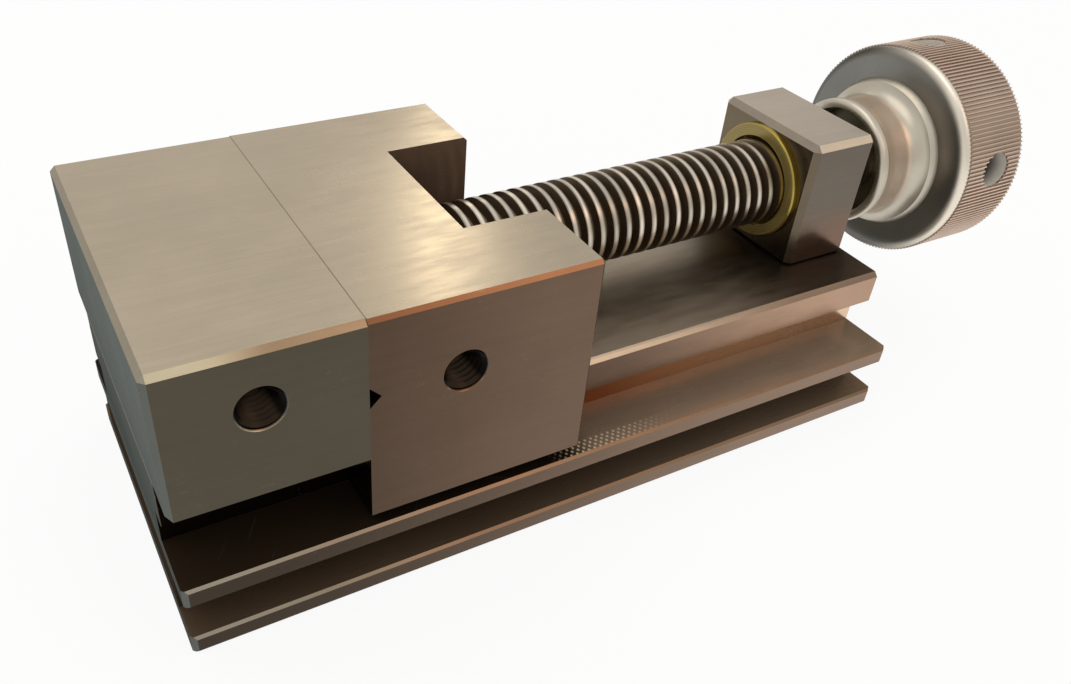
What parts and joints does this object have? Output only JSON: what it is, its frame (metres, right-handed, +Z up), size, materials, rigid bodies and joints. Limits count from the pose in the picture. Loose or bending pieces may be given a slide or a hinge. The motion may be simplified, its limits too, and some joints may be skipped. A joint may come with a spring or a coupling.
{
  "type": "precision vise",
  "caption": "Ground steel machine vise: a jaw slides on a T rail, drawn by a trapezoidal screw in a brass nut and turned by a knurled knob with tommy-bar holes.",
  "frame": {"origin": "on the base plane, under the middle of the fixed jaw's gripping face", "axes": "+X along the screw from the fixed jaw towards the knob, +Y across the jaws, +Z up from the base"},
  "size_m": [0.2036, 0.07, 0.0712],
  "materials": {
    "ground_steel": "surface ground",
    "jaw_steel": "surface ground",
    "block_steel": "surface ground",
    "screw_steel": "turned and oiled",
    "satin_metal": "satin, with a straight knurl",
    "brass": "turned",
    "black_screws": "black oxide",
    "pin_steel": "hardened and ground"
  },
  "bodies": {
    "bed": {"vise_body": "ground_steel", "screw_block": "block_steel", "brass_nut": "brass", "nut_lock_screw": "black_screws", "block_screw_front_near": "black_screws", "block_screw_front_far": "black_screws", "block_screw_rear_near": "black_screws", "block_screw_rear_far": "black_screws", "block_dowel_near": "pin_steel", "block_dowel_far": "pin_steel"},
    "slide": {"moving_jaw": "jaw_steel", "thrust_pad": "pin_steel", "nose_lock_screw_near": "black_screws", "nose_lock_screw_far": "black_screws"},
    "screw": {"lead_screw": "screw_steel", "knob": "satin_metal", "knob_key": "pin_steel", "knob_washer": "pin_steel", "knob_spring_washer": "pin_steel", "knob_end_screw": "black_screws"}
  },
  "joints": [
    {"name": "jaw_slide", "type": "slide", "parent": "bed", "child": "slide", "axis": [1, 0, 0], "range_m": [0, 0.08]},
    {"name": "screw_turn", "type": "hinge", "parent": "slide", "child": "screw", "pos_m": [0, 0, 0.04625], "axis": [1, 0, 0], "range_deg": [0, 9071]}
  ],
  "couplings": [
    {"joint": "screw_turn", "follows": "jaw_slide", "rad_per_m": 1979}
  ]
}
